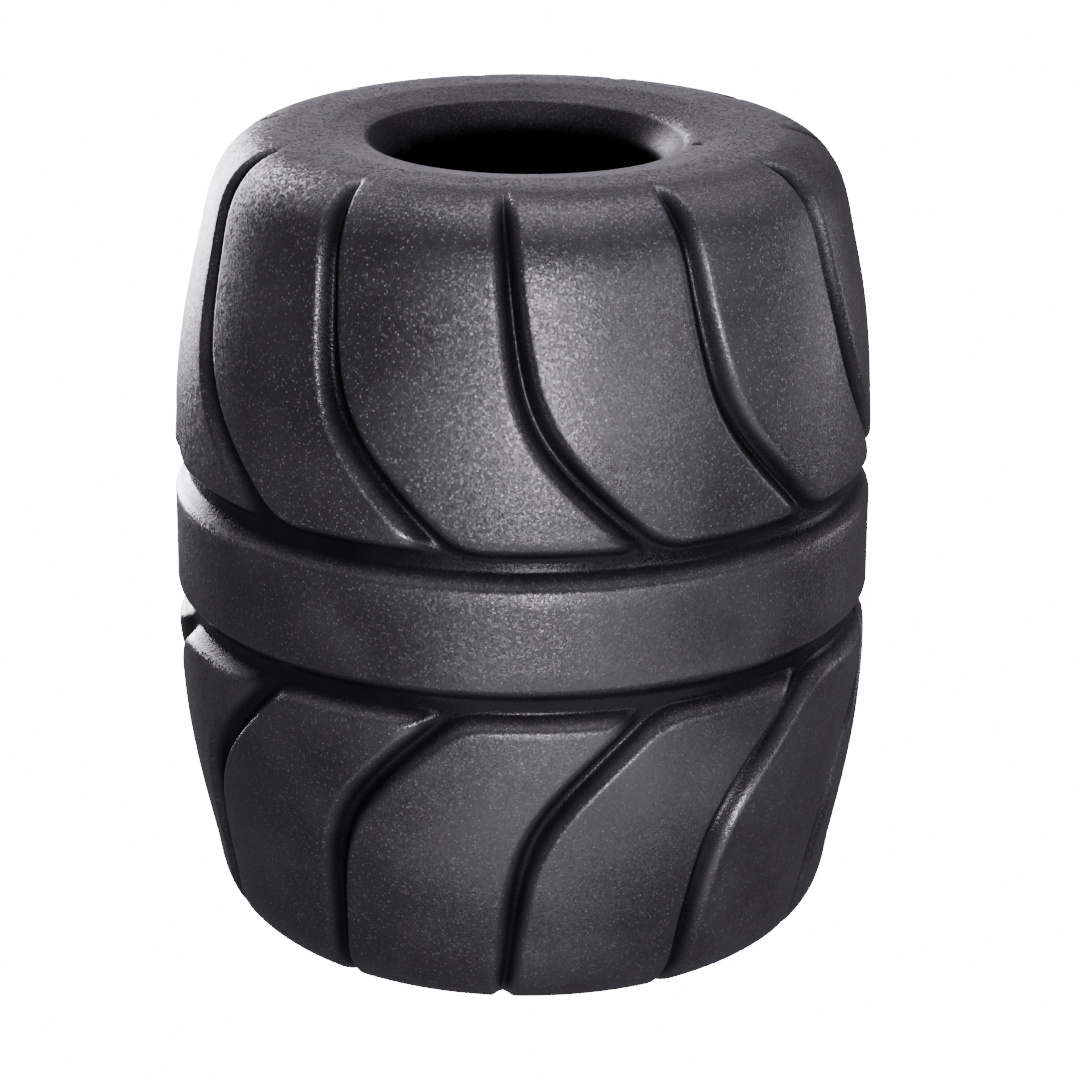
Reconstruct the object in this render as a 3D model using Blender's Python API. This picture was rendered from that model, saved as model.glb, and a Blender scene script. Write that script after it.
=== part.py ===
"""Treaded elastomer sleeve: one moulded barrel with a bore right through it.

Two ring grooves leave a plain band at mid height. Above and below the band the wall is cut by
curved grooves into tread blocks. Metres, +Z up, origin at the middle of the bottom face.
"""
from math import atan2, cos, exp, hypot, log, pi, radians, sin

import bmesh
import bpy
import numpy as np

# Overall size
HEIGHT = 0.050                  # resting face to resting face
HALF = HEIGHT / 2
RADIUS = HALF / 1.166           # at mid height, over the band

# Barrel outline, from mid height up: straight, then a curve leaning in to the haunch, then a
# tighter curve over the shoulder to the flat resting ring. A reach is how far a curve keeps to
# its end's direction.
STRAIGHT = 0.13 * RADIUS        # the wall is straight up to this height
FOOT_REACH = 0.334 * RADIUS
HAUNCH_RADIUS = 0.919 * RADIUS
HAUNCH_HEIGHT = 0.885 * RADIUS
HAUNCH_LEAN = radians(12.8)     # the wall's lean there
REACH_BELOW = 0.316 * RADIUS
REACH_ABOVE = 0.168 * RADIUS
RIM_REACH = 0.168 * RADIUS
FACE_OUTER = 0.671 * RADIUS     # the flat resting ring's outer edge

# Mouth at each end, from the resting face inward
FACE_INNER = 0.58 * RADIUS      # the flat resting ring's inner edge
LIP_RADIUS = 0.435 * RADIUS     # where the dished face turns into the bore
LIP_DEPTH = 0.035 * RADIUS      # how far the face is dished by then
BORE_RADIUS = 0.355 * RADIUS
LIP_HEIGHT = 0.120 * RADIUS     # depth that the rounded lip takes along the bore

# Ring grooves either side of the band
RING_OFFSET = 0.203 * RADIUS    # centre of each ring groove above or below mid height
RING_WIDTH = 0.115 * RADIUS     # at the surface
RING_FLOOR = 0.070 * RADIUS
RING_DEPTH = 0.045 * RADIUS

# Tread grooves, the same number above and below the band
TREADS = 11
TREAD_WIDTH = 0.080 * RADIUS    # across the groove at the surface
TREAD_FLOOR = 0.034 * RADIUS
TREAD_DEPTH = 0.045 * RADIUS
FIRST_TREAD = radians(-4.8)     # where the front groove's tip is, measured from -Y
LOWER_TURN = radians(0.3)       # the lower tread is turned this much against the upper one

# A tread groove's path: how far it has turned at each angle of elevation seen from the centre.
# Down from its tip it leans a little, then it bends and runs slantwise into the ring groove.
PATH_TOP = radians(59)          # the turn is counted from here
PATH_LEAN = 0.19                # turn for each degree down the upper part
BEND_ANGLE = radians(30)        # the middle of the bend
BEND_SOFTNESS = radians(3.5)
BEND_LEAN = 1.03                # added to the lean below the bend
FADE_START = radians(52)        # the groove grows shallow from here
FADE_END = radians(58.5)        # and its tip is here

# Mesh fineness
CURVE_POINTS = 200
SHOULDER_ROWS = 15
LIP_STEPS = 4
BLOCK_STEPS = 5                 # strips across each tread block

PITCH = 2 * pi / TREADS


def curve(start, start_handle, end_handle, end):
    """Points along a Bezier curve, its end left out."""
    t = np.arange(CURVE_POINTS)[:, None] / CURVE_POINTS
    return ((1 - t) ** 3 * start + 3 * (1 - t) ** 2 * t * start_handle
            + 3 * (1 - t) * t ** 2 * end_handle + t ** 3 * end)


def wall_points():
    """Fine points (radius, height) of the wall's section, from mid height to the resting ring."""
    lean = np.array([-sin(HAUNCH_LEAN), cos(HAUNCH_LEAN)])
    foot = np.array([RADIUS, STRAIGHT])
    haunch = np.array([HAUNCH_RADIUS, HAUNCH_HEIGHT])
    rim = np.array([FACE_OUTER, HALF])
    side = curve(foot, foot + (0, FOOT_REACH), haunch - REACH_BELOW * lean, haunch)
    shoulder = curve(haunch, haunch + REACH_ABOVE * lean, rim + (RIM_REACH, 0), rim)
    return np.vstack([[[RADIUS, 0.0]], side, shoulder, [rim]])


WALL = wall_points()
WALL_LENGTHS = np.append(0.0, np.cumsum(np.hypot(*np.diff(WALL, axis=0).T)))


def on_wall(length):
    """Point (radius, height) of the wall at this length along it from mid height."""
    return np.array([np.interp(length, WALL_LENGTHS, WALL[:, axis]) for axis in (0, 1)])


def wall_normal(length):
    """Outward normal of the wall, as (radial, axial)."""
    radial, axial = on_wall(length + RADIUS / 500) - on_wall(length - RADIUS / 500)
    return axial / hypot(radial, axial), -radial / hypot(radial, axial)


def path_turn(elevation):
    """Angle that a tread groove has turned at this elevation from the centre."""
    bend = BEND_SOFTNESS * log(1 + exp((BEND_ANGLE - elevation) / BEND_SOFTNESS))
    return BEND_LEAN * bend + PATH_LEAN * max(0.0, PATH_TOP - elevation)


def groove_fade(elevation):
    """1 along the groove, falling smoothly to 0 at its tip on the shoulder."""
    part = min(1.0, max(0.0, (FADE_END - elevation) / (FADE_END - FADE_START)))
    return part * part * (3 - 2 * part)


def wall_row(length, ring_sink, in_tread):
    """One ring of the outer wall: its place, its groove depths and its turn."""
    radius, height = on_wall(length)
    elevation = atan2(height, radius)
    floor_edge = atan2(RING_OFFSET, RADIUS)
    turn = path_turn(max(elevation, floor_edge))
    step = 0.001
    slope = (path_turn(elevation) - path_turn(elevation + step)) / step
    stretch = hypot(1.0, slope * cos(elevation)) if in_tread else 1.0
    return {"radius": radius, "height": height, "normal": wall_normal(length),
            "ring": ring_sink, "tread": TREAD_DEPTH * groove_fade(elevation) * in_tread,
            "turn": turn, "stretch": stretch}


def plain_row(radius, height):
    """One ring of the end face, the lip or the bore, where nothing is cut."""
    return {"radius": radius, "height": height, "normal": (0.0, 0.0), "ring": 0.0,
            "tread": 0.0, "turn": 0.0, "stretch": 1.0}


def upper_rows():
    """The upper half of the section, from the band out, over the end face and into the bore."""
    rows = []
    for offset, sink in ((-RING_WIDTH / 2, 0.0), (-RING_FLOOR / 2, RING_DEPTH),
                         (RING_FLOOR / 2, RING_DEPTH), (RING_WIDTH / 2, 0.0)):
        rows.append(wall_row(RING_OFFSET + offset, sink, offset > 0))
    first = RING_OFFSET + RING_WIDTH / 2
    for i in range(1, SHOULDER_ROWS + 1):
        length = first + (WALL_LENGTHS[-1] - first) * i / SHOULDER_ROWS
        rows.append(wall_row(length, 0.0, True))
    rows.append(plain_row(FACE_INNER, HALF))
    # the lip: a quarter ellipse from the dished face down to the bore
    for i in range(LIP_STEPS + 1):
        angle = pi / 2 * i / LIP_STEPS
        rows.append(plain_row(LIP_RADIUS - (LIP_RADIUS - BORE_RADIUS) * sin(angle),
                              HALF - LIP_DEPTH - LIP_HEIGHT * (1 - cos(angle))))
    return rows


def section_rows():
    """The whole closed section, in order round the wall."""
    upper = upper_rows()
    lower = [dict(row, height=-row["height"], normal=(row["normal"][0], -row["normal"][1]),
                  turn=row["turn"] + LOWER_TURN) for row in upper]
    middle = wall_row(0.0, 0.0, False)
    middle["turn"] += LOWER_TURN / 2
    waist = plain_row(BORE_RADIUS, 0.0)
    waist["turn"] = LOWER_TURN / 2
    return [middle] + upper + [waist] + lower[::-1]


def columns():
    """Strips across one pitch: (fixed angle, side of the groove, how deep it is cut)."""
    groove = [(-0.5, TREAD_WIDTH, 0.0), (-0.5, TREAD_FLOOR, 1.0),
              (0.5, TREAD_FLOOR, 1.0), (0.5, TREAD_WIDTH, 0.0)]
    strips = [(0.0, side * width / RADIUS, cut) for side, width, cut in groove]
    edge = TREAD_WIDTH / RADIUS / 2
    for i in range(1, BLOCK_STEPS):
        strips.append((edge + (PITCH - 2 * edge) * i / BLOCK_STEPS, 0.0, 0.0))
    return strips


def vertex(row, tread, strip):
    """Place one vertex of the sleeve."""
    fixed, across, cut = strip
    sink = max(row["ring"], row["tread"] * cut)
    radius = row["radius"] - sink * row["normal"][0]
    height = row["height"] - sink * row["normal"][1] + HALF
    angle = FIRST_TREAD + tread * PITCH + fixed + across * row["stretch"] + row["turn"]
    return radius * sin(angle), -radius * cos(angle), height


def make_sleeve():
    """Skin the section round the axis, strip by strip, into one closed body."""
    rows = section_rows()
    strips = columns()
    mesh = bpy.data.meshes.new("tread_sleeve")
    bm = bmesh.new()
    grid = [[bm.verts.new(vertex(row, tread, strip)) for tread in range(TREADS) for strip in strips]
            for row in rows]
    count = TREADS * len(strips)
    for i, ring in enumerate(grid):
        above = grid[(i + 1) % len(grid)]
        for j in range(count):
            k = (j + 1) % count
            bm.faces.new((ring[j], ring[k], above[k], above[j]))
    bmesh.ops.recalc_face_normals(bm, faces=bm.faces)
    bm.to_mesh(mesh)
    bm.free()
    sleeve = bpy.data.objects.new("tread_sleeve", mesh)
    bpy.context.collection.objects.link(sleeve)
    mesh.shade_smooth()
    mesh.set_sharp_from_angle(angle=radians(30))
    return sleeve


def elastomer():
    """Dark charcoal elastomer with a satin skin."""
    material = bpy.data.materials.new("elastomer")
    material.use_nodes = True
    shader = material.node_tree.nodes["Principled BSDF"]
    shader.inputs["Base Color"].default_value = (0.030, 0.029, 0.032, 1.0)
    shader.inputs["Roughness"].default_value = 0.5
    shader.inputs["Metallic"].default_value = 0.0
    return material


def main():
    for old in list(bpy.data.objects):
        bpy.data.objects.remove(old, do_unlink=True)
    sleeve = make_sleeve()
    sleeve.data.materials.append(elastomer())


main()
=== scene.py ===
"""The looks of the treaded elastomer sleeve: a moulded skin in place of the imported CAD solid."""
from math import cos, pi, radians, sin

import bpy
import numpy as np
from mathutils import Matrix, Vector


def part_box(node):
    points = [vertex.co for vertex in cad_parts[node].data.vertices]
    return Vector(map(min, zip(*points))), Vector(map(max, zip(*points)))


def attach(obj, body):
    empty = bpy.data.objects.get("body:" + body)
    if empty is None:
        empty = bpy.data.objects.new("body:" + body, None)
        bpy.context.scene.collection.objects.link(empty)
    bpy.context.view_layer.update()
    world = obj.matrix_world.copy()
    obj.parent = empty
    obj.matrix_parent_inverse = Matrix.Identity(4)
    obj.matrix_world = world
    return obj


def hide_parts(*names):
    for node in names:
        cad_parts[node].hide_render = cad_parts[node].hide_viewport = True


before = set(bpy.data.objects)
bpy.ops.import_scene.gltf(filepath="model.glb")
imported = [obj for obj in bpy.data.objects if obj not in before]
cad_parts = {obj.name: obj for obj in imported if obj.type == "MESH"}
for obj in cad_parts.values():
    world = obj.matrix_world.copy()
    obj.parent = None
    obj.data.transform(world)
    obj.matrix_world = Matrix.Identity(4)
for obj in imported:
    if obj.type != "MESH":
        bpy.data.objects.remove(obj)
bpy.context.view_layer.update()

low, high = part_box("tread_sleeve")

# Overall size, from the CAD solid
HEIGHT = high.z - low.z
HALF = HEIGHT / 2
RADIUS = HALF / 1.166

# Barrel outline, from mid height up: straight, a curve leaning in to the haunch, then a tighter
# curve over the shoulder to the flat resting ring. A reach is how far a curve keeps to its
# end's direction.
STRAIGHT = 0.13 * RADIUS
FOOT_REACH = 0.334 * RADIUS
HAUNCH_RADIUS = 0.919 * RADIUS
HAUNCH_HEIGHT = 0.885 * RADIUS
HAUNCH_LEAN = radians(12.8)
REACH_BELOW = 0.316 * RADIUS
REACH_ABOVE = 0.168 * RADIUS
RIM_REACH = 0.168 * RADIUS
FACE_OUTER = 0.671 * RADIUS

# The soft sleeve stands a little out of true. Heights are above mid height, and each swelling is
# a share of the radius there.
END_SHIFT = 0.0060 * RADIUS      # the ends' shift towards +X, one radius above or below mid height
SIDE_SWELL = 0.012               # the +X shoulder
SIDE_SWELL_FROM = 0.40 * RADIUS  # its height where it begins
SIDE_SWELL_AT = 0.80 * RADIUS    # and where it is complete
FOOT_SWELL = 0.016               # the lower shoulder, which carries the weight
FOOT_SWELL_HEIGHT = -1.07 * RADIUS
FOOT_SWELL_REACH = 0.17 * RADIUS
CREST_SWELL = 0.009              # the upper shoulder near the top face
CREST_SWELL_HEIGHT = 1.08 * RADIUS
CREST_SWELL_REACH = 0.20 * RADIUS
SWELL_BLEND = 0.2 * RADIUS       # the last two begin over this distance outside the end face

# Mouth at each end
FACE_INNER = 0.58 * RADIUS
LIP_RADIUS = 0.458 * RADIUS      # the edge where the dished face turns down into the mouth
LIP_DEPTH = 0.018 * RADIUS
LIP_SLOPE = radians(38)          # how steeply the mouth starts there
LIP_ROUND = 0.006 * RADIUS
LIP_HEIGHT = 0.150 * RADIUS      # from that edge down to the straight bore
LIP_REACHES = (0.4 * LIP_HEIGHT, 0.5 * LIP_HEIGHT)
BORE_RADIUS = 0.357 * RADIUS

# A small pit beside the mouth on the top face
PIT_PLACE = (0.487 * RADIUS, -0.117 * RADIUS)   # along X and Y
PIT_RADIUS = 0.022 * RADIUS
PIT_DEPTH = 0.014 * RADIUS

# Ring grooves either side of the band
RING_OFFSET = 0.203 * RADIUS
RING_HALF_WIDTH = 0.050 * RADIUS
RING_DEPTH = 0.038 * RADIUS

# Tread grooves
TREADS = 11
PITCH = 2 * pi / TREADS
TREAD_HALF_WIDTH = 0.037 * RADIUS
TREAD_TIP_HALF_WIDTH = 0.029 * RADIUS
TREAD_DEPTH = 0.043 * RADIUS
FIRST_TREAD = radians(-4.8)
LOWER_TURN = radians(0.3)        # the lower half is turned this much against the upper one
TURN_BLEND = 0.2 * RADIUS        # and the turn comes in over this height of the band

# A tread groove's path: how far it has turned at each angle of elevation seen from the centre
PATH_TOP = radians(59)
PATH_LEAN = 0.19
BEND_ANGLE = radians(30)
BEND_SOFTNESS = radians(3.5)
BEND_LEAN = 1.03
TAPER_START = radians(52)        # the groove narrows from here
TAPER_END = radians(60)
TIP_SHARE = 0.30                 # the share of its width that is left there
FADE_START = radians(56)         # and grows shallow from here
FADE_END = radians(59.3)

# How a groove's wall rounds over into the surface and runs down to its floor
EDGE_ROUND = 0.015 * RADIUS
WALL_WIDTH = 0.036 * RADIUS
BAND_EDGE_ROUND = 0.022 * RADIUS
CORNER_BLEND = 0.050 * RADIUS    # rounding of the blocks' corners beside the ring grooves

# Distances between the mesh's rows
FINE = 0.0085 * RADIUS           # across a ring groove
TIP_STEP = 1.4 * FINE            # over the groove tips
FACE_STEP = 0.012 * RADIUS
MEDIUM = 0.015 * RADIUS          # over the blocks' corners
COARSE = 0.023 * RADIUS
BORE_STEP = 0.12 * RADIUS
CORNER_LENGTH = 0.08 * RADIUS    # how far the corners' rows go up from the ring groove
TIP_LENGTH = 0.26 * RADIUS       # how far the tips' rows go down from the resting ring


def smoothstep(value):
    value = np.clip(value, 0.0, 1.0)
    return value * value * (3 - 2 * value)


def smooth_max(a, b, width):
    """The larger of a and b, rounded over where they are within width of each other."""
    near = np.maximum(width - np.abs(a - b), 0.0) / width
    return np.maximum(a, b) + near * near * width / 4


def curve(start, start_handle, end_handle, end):
    """Points along a Bezier curve, its end left out."""
    t = np.arange(400)[:, None] / 400
    return ((1 - t) ** 3 * start + 3 * (1 - t) ** 2 * t * start_handle
            + 3 * (1 - t) * t ** 2 * end_handle + t ** 3 * end)


def wall_points():
    """Fine points (radius, height) of the wall's section, from mid height to the resting ring."""
    lean = np.array([-sin(HAUNCH_LEAN), cos(HAUNCH_LEAN)])
    foot = np.array([RADIUS, STRAIGHT])
    haunch = np.array([HAUNCH_RADIUS, HAUNCH_HEIGHT])
    rim = np.array([FACE_OUTER, HALF])
    side = curve(foot, foot + (0, FOOT_REACH), haunch - REACH_BELOW * lean, haunch)
    shoulder = curve(haunch, haunch + REACH_ABOVE * lean, rim + (RIM_REACH, 0), rim)
    return np.vstack([[[RADIUS, 0.0]], side, shoulder, [rim]])


WALL = wall_points()
WALL_LENGTHS = np.append(0.0, np.cumsum(np.hypot(*np.diff(WALL, axis=0).T)))


def path_turn(elevation):
    """Angle that a tread groove has turned at this elevation from the centre."""
    bend = BEND_SOFTNESS * np.log1p(np.exp((BEND_ANGLE - elevation) / BEND_SOFTNESS))
    return BEND_LEAN * bend + PATH_LEAN * np.maximum(0.0, PATH_TOP - elevation)


def spaced(start, stop, step):
    """Values from start up to stop, stop left out, about step apart."""
    count = max(1, round(abs(stop - start) / step))
    return [start + (stop - start) * i / count for i in range(count)]


def upper_section():
    """Points (radius, height) of the upper half of the section, from mid height to mid bore."""
    ring_low = RING_OFFSET - RING_HALF_WIDTH - BAND_EDGE_ROUND
    ring_high = RING_OFFSET + RING_HALF_WIDTH + EDGE_ROUND
    corner_top = ring_high + CORNER_LENGTH
    tips_low = WALL_LENGTHS[-1] - TIP_LENGTH
    lengths = spaced(0.0, ring_low, 2 * COARSE) + spaced(ring_low, ring_high, FINE)
    lengths += spaced(ring_high, corner_top, MEDIUM) + spaced(corner_top, tips_low, COARSE)
    lengths += spaced(tips_low, WALL_LENGTHS[-1], TIP_STEP)
    points = [tuple(np.interp(s, WALL_LENGTHS, WALL[:, k]) for k in (0, 1)) for s in lengths]
    points += [(r, HALF) for r in spaced(FACE_OUTER, FACE_INNER, COARSE)]
    lip = np.array([LIP_RADIUS, HALF - LIP_DEPTH])
    for r in spaced(FACE_INNER, LIP_RADIUS + LIP_ROUND, FACE_STEP):
        points.append((r, HALF - LIP_DEPTH * (FACE_INNER - r) / (FACE_INNER - LIP_RADIUS)))
    bore = np.array([BORE_RADIUS, lip[1] - LIP_HEIGHT])
    down = np.array([-cos(LIP_SLOPE), -sin(LIP_SLOPE)])
    mouth = curve(lip, lip + LIP_REACHES[0] * down, bore + (0, LIP_REACHES[1]), bore)
    points += [tuple(point) for point in mouth[20::25]]
    points += [(BORE_RADIUS, z) for z in spaced(bore[1], 0.0, BORE_STEP)]
    return points


def section():
    """The whole closed section, and which of its points are on the outer wall."""
    upper = upper_section()
    lower = [(r, -z) for r, z in upper[1:]]
    points = np.array(upper + [(BORE_RADIUS, 0.0)] + lower[::-1])
    tangent = np.roll(points, -1, axis=0) - np.roll(points, 1, axis=0)
    tangent /= np.linalg.norm(tangent, axis=1)[:, None]
    normal = np.stack([tangent[:, 1], -tangent[:, 0]], axis=1)
    outer = (points[:, 0] > FACE_INNER * 0.999) & (np.abs(points[:, 1]) < HALF * 0.9999)
    return points, normal, outer


def across_pitch():
    """Columns of one pitch: places in groove half widths, and in shares of the block."""
    groove = [-1.9, -1.65, -1.45, -1.3, -1.15, -1.0, -0.85, -0.7, -0.55, -0.4, -0.25, -0.1]
    groove += [-u for u in groove[::-1]]
    block = [i / 13 for i in range(1, 13)]
    return groove, block


def swelling(radius, height, angle):
    """How much wider the sleeve is here than its true outline, as a factor."""
    side = smoothstep((height - SIDE_SWELL_FROM) / (SIDE_SWELL_AT - SIDE_SWELL_FROM))
    side = side * np.maximum(np.sin(angle), 0) ** 2
    foot = smoothstep(1 - np.abs(height - FOOT_SWELL_HEIGHT) / FOOT_SWELL_REACH)
    crest = smoothstep(1 - np.abs(height - CREST_SWELL_HEIGHT) / CREST_SWELL_REACH)
    outside = smoothstep((radius - FACE_INNER) / SWELL_BLEND)
    return 1 + SIDE_SWELL * side + (FOOT_SWELL * foot + CREST_SWELL * crest) * outside


def sleeve_points():
    """Vertices of the sleeve (rows, columns, 3), and how deep in a groove each one is, 0 to 1."""
    points, normal, outer = section()
    radius, height = points[:, 0], points[:, 1]
    elevation = np.arctan2(np.abs(height), radius)
    lowest = np.arctan2(RING_OFFSET, RADIUS)
    turn = np.where(outer, path_turn(np.maximum(elevation, lowest)), 0.0)
    turn = turn + LOWER_TURN * smoothstep(0.5 - height / TURN_BLEND)

    # the groove's slope against the meridian, which widens it round the axis
    step = 0.001
    slope = (path_turn(elevation) - path_turn(elevation + step)) / step
    distance = np.hypot(radius, height)
    stretch = np.where(outer, np.hypot(1.0, slope * radius / distance), 1.0)
    along = smoothstep((elevation - BEND_ANGLE) / (TAPER_START - BEND_ANGLE))
    half_width = TREAD_HALF_WIDTH + (TREAD_TIP_HALF_WIDTH - TREAD_HALF_WIDTH) * along
    taper = smoothstep((TAPER_END - elevation) / (TAPER_END - TAPER_START))
    half_width = half_width * (TIP_SHARE + (1 - TIP_SHARE) * taper)
    half_angle = half_width * stretch / np.maximum(radius, 0.6 * RADIUS)

    groove, block = across_pitch()
    reach = groove[-1]
    offsets = [half_angle * u for u in groove]
    offsets += [reach * half_angle + (PITCH - 2 * reach * half_angle) * share for share in block]
    offset = np.stack(offsets, axis=1)                       # (rows, columns of one pitch)
    wrapped = np.where(offset > PITCH / 2, offset - PITCH, offset)

    # how far inside each groove a point is, negative on the blocks
    in_tread = half_width[:, None] - np.abs(wrapped) * (radius / stretch)[:, None]
    above_ring = np.abs(height) - RING_OFFSET
    in_ring = RING_HALF_WIDTH - np.abs(above_ring)
    tread_side = smoothstep((above_ring / RING_HALF_WIDTH + 1) / 2)
    fade = smoothstep((FADE_END - elevation) / (FADE_END - FADE_START))
    on_tread_side = (above_ring > 0)[:, None]
    joined = smooth_max(in_tread, in_ring[:, None], CORNER_BLEND)
    inside = np.where(on_tread_side, joined, in_ring[:, None])
    edge = np.where(on_tread_side, EDGE_ROUND, BAND_EDGE_ROUND)
    depth_here = RING_DEPTH + (TREAD_DEPTH - RING_DEPTH) * tread_side
    sink = smoothstep((inside + edge) / (edge + WALL_WIDTH)) * depth_here[:, None]
    sink = sink * np.where(outer, fade, 0.0)[:, None]

    r = radius[:, None] - sink * normal[:, 0][:, None]
    z = height[:, None] - sink * normal[:, 1][:, None]
    treads = np.arange(TREADS) * PITCH
    angle = FIRST_TREAD + treads[None, :, None] + (offset + turn[:, None])[:, None, :]
    rows = len(points)
    r = np.repeat(r[:, None, :], TREADS, axis=1).reshape(rows, -1)
    z = np.repeat(z[:, None, :], TREADS, axis=1).reshape(rows, -1)
    deep = np.repeat((sink / depth_here[:, None])[:, None, :], TREADS, axis=1).reshape(rows, -1)
    angle = angle.reshape(rows, -1)

    r = r * swelling(r, z, angle)
    x = r * np.sin(angle) + END_SHIFT * (z / RADIUS) ** 2
    y = -r * np.cos(angle)
    pit = smoothstep(1 - np.hypot(x - PIT_PLACE[0], y - PIT_PLACE[1]) / PIT_RADIUS) * (z > 0)
    z = z - PIT_DEPTH * pit
    return np.stack([x, y, z + HALF + low.z], axis=-1), np.maximum(deep, pit)


def make_sleeve():
    """Skin the points into one closed smooth mesh."""
    grid, deep = sleeve_points()
    rows, columns, _ = grid.shape
    index = np.arange(rows * columns).reshape(rows, columns)
    right = np.roll(index, -1, axis=1)
    up, up_right = np.roll(index, -1, axis=0), np.roll(right, -1, axis=0)
    quads = np.stack([index, right, up_right, up], axis=-1).reshape(-1, 4)
    mesh = bpy.data.meshes.new("moulded_sleeve")
    mesh.from_pydata(grid.reshape(-1, 3).tolist(), [], quads.tolist())
    mesh.attributes.new("groove", "FLOAT", "POINT").data.foreach_set("value", deep.ravel())
    mesh.shade_smooth()
    sleeve = bpy.data.objects.new("moulded_sleeve", mesh)
    bpy.context.collection.objects.link(sleeve)
    return sleeve


class Nodes:
    """A short way to add shader nodes and join them up."""

    def __init__(self, material):
        material.use_nodes = True
        self.tree = material.node_tree
        self.tree.nodes.clear()

    def add(self, kind, inputs=None, **settings):
        node = self.tree.nodes.new(kind)
        for name, value in settings.items():
            setattr(node, name, value)
        for name, value in (inputs or {}).items():
            if isinstance(value, bpy.types.NodeSocket):
                self.tree.links.new(value, node.inputs[name])
            else:
                node.inputs[name].default_value = value
        return node

    def math(self, operation, a, b=0.0):
        return self.add("ShaderNodeMath", {0: a, 1: b}, operation=operation).outputs[0]

    def vector(self, operation, inputs):
        return self.add("ShaderNodeVectorMath", inputs, operation=operation).outputs[0]

    def step(self, value, start, stop, low=0.0, high=1.0):
        """value brought smoothly from low at start to high at stop."""
        inputs = {"Value": value, "From Min": start, "From Max": stop,
                  "To Min": low, "To Max": high}
        return self.add("ShaderNodeMapRange", inputs, interpolation_type="SMOOTHSTEP").outputs[0]

    def mix(self, share, a, b):
        return self.add("ShaderNodeMix", {0: share, 6: a, 7: b}, data_type="RGBA").outputs[2]

    def noise(self, where, scale, detail=2.0, roughness=0.5):
        inputs = {"Vector": where, "Scale": scale, "Detail": detail, "Roughness": roughness}
        return self.add("ShaderNodeTexNoise", inputs).outputs["Fac"]


# The skin's colours, and the black of its painted shade
CHARCOAL = (0.0125, 0.0119, 0.0140, 1.0)
GREY_CHARCOAL = (0.0215, 0.0207, 0.0237, 1.0)
DUST_AND_SHEEN = (0.150, 0.143, 0.156, 1.0)
SPECK = (0.42, 0.40, 0.45, 1.0)
RED_SPECK = (0.30, 0.07, 0.08, 1.0)
PAINTED_SHADE = (0.0, 0.0, 0.0, 1.0)

# Patterns, in features per metre
SPECK_CELLS = 7800.0             # a speck is about 0.1 mm across
GRAIN_SCALE = 6500.0
SCUFF_SCALE = 900.0
RAGGED_SCALE = 260.0
MOTTLE_SCALE = 170.0

CELL_TILT = 0.16                 # how far a cell's own facing is from the skin's
TOP_TILT = 0.36                  # the same where the skin faces up
LOW_SPECKS = 0.13                # strength of the specks below mid height
HIGH_SPECKS = 0.27               # and on the upper blocks
SPECK_RISE = 0.3 * RADIUS        # the height over which they grow

BORE_SHADE_DEPTH = 0.098 * RADIUS     # the bore gets black painted shade from here down
BORE_SHADE_BLEND = (0.0008, -0.0006)  # where that painted shade begins and ends, above that depth
RAGGED_EDGE = 0.0007             # how far the painted shade's ragged edge wanders


def mouth_masks(n, place, xyz):
    """Two masks: the mouth inside the lip's edge, and the bore below it; both are darkened with
    painted shade, the bore to black.
    """
    squares = [n.math("POWER", xyz.outputs[axis], 2.0) for axis in (0, 1)]
    from_axis = n.math("SQRT", n.math("ADD", *squares))
    from_middle = n.math("ABSOLUTE", n.math("SUBTRACT", xyz.outputs[2], low.z + HALF))
    ragged = n.step(n.noise(place, RAGGED_SCALE), 0.62, 0.78, 0.0, RAGGED_EDGE)
    bore_shade_from = HALF - BORE_SHADE_DEPTH
    bore_shade = n.step(n.math("ADD", from_middle, ragged),
                   bore_shade_from + BORE_SHADE_BLEND[0], bore_shade_from + BORE_SHADE_BLEND[1])
    bore_shade = n.math("MULTIPLY", bore_shade, n.step(from_axis, LIP_RADIUS, LIP_RADIUS * 0.95))
    return n.step(from_axis, LIP_RADIUS, LIP_RADIUS * 0.97), bore_shade


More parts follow.
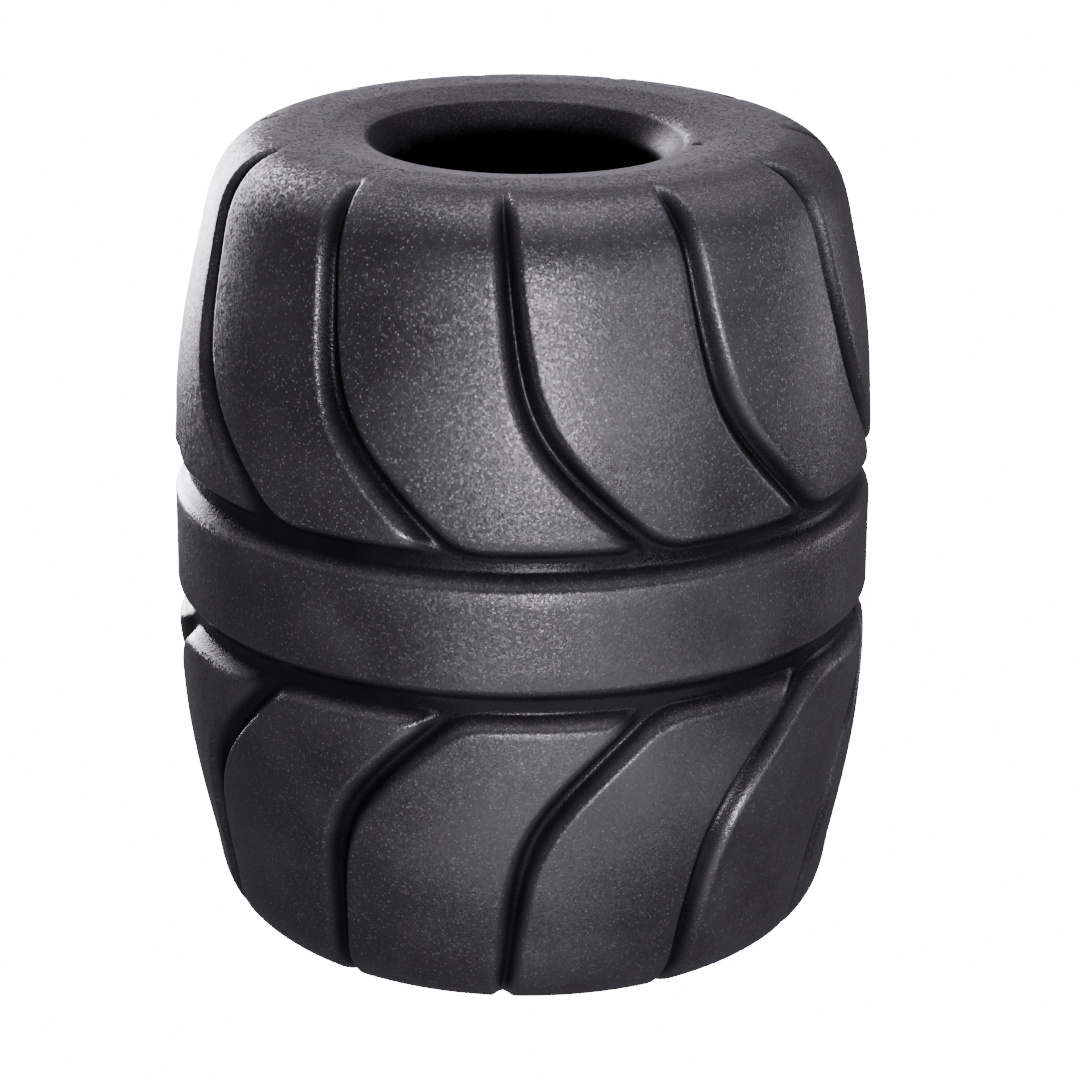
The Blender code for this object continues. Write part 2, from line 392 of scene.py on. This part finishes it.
def elastomer():
    """Charcoal elastomer: a satin skin of fine grain, with pale specks, a top lightened by dust
    specks and painted sheen, and painted shade in the grooves, the mouth and the bore.
    """
    material = bpy.data.materials.new("elastomer_skin")
    n = Nodes(material)
    place = n.add("ShaderNodeTexCoord").outputs["Object"]
    xyz = n.add("ShaderNodeSeparateXYZ", {0: place})
    normal = n.add("ShaderNodeNewGeometry").outputs["Normal"]
    facing_up = n.add("ShaderNodeSeparateXYZ", {0: normal}).outputs["Z"]
    in_groove = n.add("ShaderNodeAttribute", attribute_name="groove").outputs["Fac"]
    out_of_groove = n.step(in_groove, 0.4, 0.05)
    mouth, bore_shade = mouth_masks(n, place, xyz)
    grain = n.noise(place, GRAIN_SCALE, 2.0, 0.6)
    mottle = n.noise(place, MOTTLE_SCALE, 3.0)

    # Specks: each cell draws three numbers, and few of the cells draw a bright speck
    cells = n.add("ShaderNodeTexVoronoi", {"Vector": place, "Scale": SPECK_CELLS})
    chance = n.add("ShaderNodeSeparateColor", {0: cells.outputs["Color"]})
    round_speck = n.step(cells.outputs["Distance"], 0.60, 0.25)
    strength = n.step(xyz.outputs[2], low.z + HALF, low.z + HALF + SPECK_RISE,
                      LOW_SPECKS, HIGH_SPECKS)
    speck = n.math("MULTIPLY", round_speck, n.math("POWER", chance.outputs[0], 8.0))
    speck = n.math("MULTIPLY", n.math("MULTIPLY", speck, strength), out_of_groove)
    red_speck = n.math("MULTIPLY", round_speck, n.step(chance.outputs[1], 0.990, 0.997, 0.0, 0.2))
    red_speck = n.math("MULTIPLY", red_speck, out_of_groove)

    # Where the skin faces up it is lighter: an even film of painted sheen, and a sprinkle of small
    # dust specks
    painted_sheen_film = n.step(mottle, 0.3, 0.7, 0.22, 0.40)
    sprinkle = n.math("MULTIPLY", round_speck, n.math("POWER", chance.outputs[2], 2.0))
    dust_and_sheen = n.math("ADD", n.math("MULTIPLY", sprinkle, 1.1), painted_sheen_film)
    dust_and_sheen = n.math("MULTIPLY", n.step(facing_up, 0.40, 0.97), dust_and_sheen)

    skin = n.mix(n.step(mottle, 0.35, 0.7), CHARCOAL, GREY_CHARCOAL)
    for share, colour in ((dust_and_sheen, DUST_AND_SHEEN), (speck, SPECK), (red_speck, RED_SPECK)):
        skin = n.mix(share, skin, colour)
    # Painted shade: the skin is mixed towards black in the grooves, in the mouth inside the lip and
    # down the bore, where shade falls
    for share in (n.step(in_groove, 0.2, 0.8, 0.0, 0.75), n.math("MULTIPLY", mouth, 0.6), bore_shade):
        skin = n.mix(share, skin, PAINTED_SHADE)

    # Fine bumps, scuffs on the end faces, and a tilt of its own for each cell, so that the
    # sheen glitters
    bump = n.add("ShaderNodeBump", {"Height": grain, "Strength": 0.5, "Distance": 0.00004})
    scuffs = n.math("MULTIPLY", n.noise(place, SCUFF_SCALE, 3.0, 0.65),
                    n.step(facing_up, 0.90, 0.99))
    bump = n.add("ShaderNodeBump", {"Height": scuffs, "Normal": bump.outputs["Normal"],
                                    "Strength": 0.5, "Distance": 0.00012})
    amount = n.math("MULTIPLY", n.step(facing_up, 0.35, 0.95, CELL_TILT, TOP_TILT),
                    n.step(n.math("MAXIMUM", in_groove, mouth), 0.3, 0.0))
    tilt = n.vector("SUBTRACT", {0: cells.outputs["Color"], 1: (0.5, 0.5, 0.5)})
    tilt = n.vector("SCALE", {0: tilt, "Scale": amount})
    facing = n.vector("NORMALIZE", {0: n.vector("ADD", {0: bump.outputs["Normal"], 1: tilt})})

    # Grooves, mouth and bore have less sheen, and a groove's edges are the glossiest
    sheen = n.math("MULTIPLY", n.step(bore_shade, 1.0, 0.0, 0.0, 0.5), n.step(mouth, 0.0, 1.0, 1.0, 0.1))
    sheen = n.math("MULTIPLY", sheen, n.step(in_groove, 0.1, 0.5, 1.0, 0.20))
    rough = n.math("ADD", n.step(mottle, 0.3, 0.7, 0.34, 0.42),
                   n.step(chance.outputs[1], 0.0, 1.0, -0.08, 0.08))
    rough = n.math("SUBTRACT", rough, n.step(in_groove, 0.01, 0.15, 0.0, 0.12))
    shader = n.add("ShaderNodeBsdfPrincipled", {
        "Base Color": skin, "Roughness": n.math("MAXIMUM", rough, bore_shade),
        "Specular IOR Level": sheen, "Normal": facing})
    n.add("ShaderNodeOutputMaterial", {"Surface": shader.outputs[0]})
    return material


def around(azimuth, elevation, distance, target):
    """A point at this azimuth from -Y towards +X, and this elevation, from target."""
    a, e = radians(azimuth), radians(elevation)
    return target + distance * Vector((sin(a) * cos(e), -cos(a) * cos(e), sin(e)))


def area_light(name, width, height, radiance):
    data = bpy.data.lights.new(name, "AREA")
    data.shape = "RECTANGLE"
    data.size, data.size_y = width, height
    data.energy = radiance * pi * width * height
    data.color = LAMP_COLOUR
    light = bpy.data.objects.new(name, data)
    bpy.context.collection.objects.link(light)
    return light


def soft_box(name, azimuth, elevation, distance, width, height, radiance):
    """A rectangular area light that faces the sleeve."""
    light = area_light(name, width, height, radiance)
    target = Vector((0.0, 0.0, low.z + HALF))
    light.location = around(azimuth, elevation, distance, target)
    light.rotation_euler = (target - light.location).to_track_quat("-Z", "Y").to_euler()


def table_patch(name, azimuth, distance, size, radiance):
    """A square of light lying on the table, facing up."""
    light = area_light(name, size, size, radiance)
    light.location = around(azimuth, 0, distance, Vector((0.0, 0.0, low.z + 0.0005)))
    light.rotation_euler = (pi, 0, 0)


# Soft boxes round the sleeve: azimuth, elevation, distance, width, height, radiance
SOFT_BOXES = {
    "key": (5, 2, 0.6, 0.11, 0.14, 106.0),
    "key_left": (-18, 1, 0.6, 0.11, 0.14, 11.0),
    "key_right": (38, 1, 0.6, 0.11, 0.14, 17.0),
    "right_side": (55, 14, 0.6, 0.11, 0.14, 8.8),
    "left_rim": (-148, 8, 0.6, 0.24, 0.34, 28.0),
    "right_rim": (115, 3, 0.6, 0.16, 0.24, 3.1),
    "back": (180, 3, 0.6, 0.16, 0.24, 1.6),
    "top": (0, 90, 0.6, 0.30, 0.30, 5.6),
}
# Lit patches of the table: azimuth, distance, size, radiance
TABLE_PATCHES = {
    "table_front": (5, 0.26, 0.16, 3.8),
    "table_near": (16, 0.065, 0.07, 1.7),
    "table_left": (-150, 0.26, 0.16, 6.0),
    "table_right": (100, 0.26, 0.16, 3.0),
}
LAMP_COLOUR = (1.0, 0.945, 1.06)
AMBIENT = 0.15                   # light from all round
PAPER_GLOW = 20.0                # the backdrop's own light, which only the camera sees


def add_lights():
    for name, settings in SOFT_BOXES.items():
        soft_box(name, *settings)
    for name, settings in TABLE_PATCHES.items():
        table_patch(name, *settings)
    world = bpy.data.worlds.new("studio")
    world.use_nodes = True
    tree = world.node_tree
    seen = tree.nodes.new("ShaderNodeLightPath").outputs["Is Camera Ray"]
    strength = tree.nodes.new("ShaderNodeMapRange")
    tree.links.new(seen, strength.inputs["Value"])
    strength.inputs["To Min"].default_value = AMBIENT
    strength.inputs["To Max"].default_value = PAPER_GLOW
    background = tree.nodes["Background"]
    background.inputs["Color"].default_value = (*LAMP_COLOUR, 1.0)
    tree.links.new(strength.outputs[0], background.inputs["Strength"])
    bpy.context.scene.world = world


def add_floor():
    """A plain white floor under the sleeve, lit like the backdrop."""
    bpy.ops.mesh.primitive_plane_add(size=6.0, location=(0.0, 0.0, low.z - 0.00002))
    floor = bpy.context.object
    floor.name = "floor"
    material = bpy.data.materials.new("floor")
    material.use_nodes = True
    shader = material.node_tree.nodes["Principled BSDF"]
    shader.inputs["Base Color"].default_value = (0.9, 0.9, 0.9, 1.0)
    shader.inputs["Roughness"].default_value = 0.9
    shader.inputs["Emission Color"].default_value = (1.0, 1.0, 1.0, 1.0)
    shader.inputs["Emission Strength"].default_value = PAPER_GLOW
    floor.data.materials.append(material)
    floor.visible_glossy = False
    floor.visible_diffuse = False


# Where the camera stands, in sleeve radii and degrees
CAMERA_DISTANCE = 11.10 * RADIUS
CAMERA_ELEVATION = 19.34
CAMERA_ROLL = 0.35
CAMERA_LENS = 127.0
AIM = Vector((0.0514 * RADIUS, 0.0, low.z + HALF - 0.0591 * RADIUS))


def add_camera():
    data = bpy.data.cameras.new("camera")
    data.lens = CAMERA_LENS
    data.sensor_width = 36.0
    data.clip_start = 0.01
    camera = bpy.data.objects.new("camera", data)
    camera.location = around(0, CAMERA_ELEVATION, CAMERA_DISTANCE, AIM)
    look = (AIM - camera.location).to_track_quat("-Z", "Y").to_matrix().to_4x4()
    roll = Matrix.Rotation(radians(CAMERA_ROLL), 4, "Z")
    camera.rotation_euler = (look @ roll).to_euler()
    bpy.context.collection.objects.link(camera)
    bpy.context.scene.camera = camera


add_camera()
add_lights()
add_floor()
sleeve = make_sleeve()
sleeve.data.materials.append(elastomer())
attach(sleeve, "root")
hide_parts("tread_sleeve")
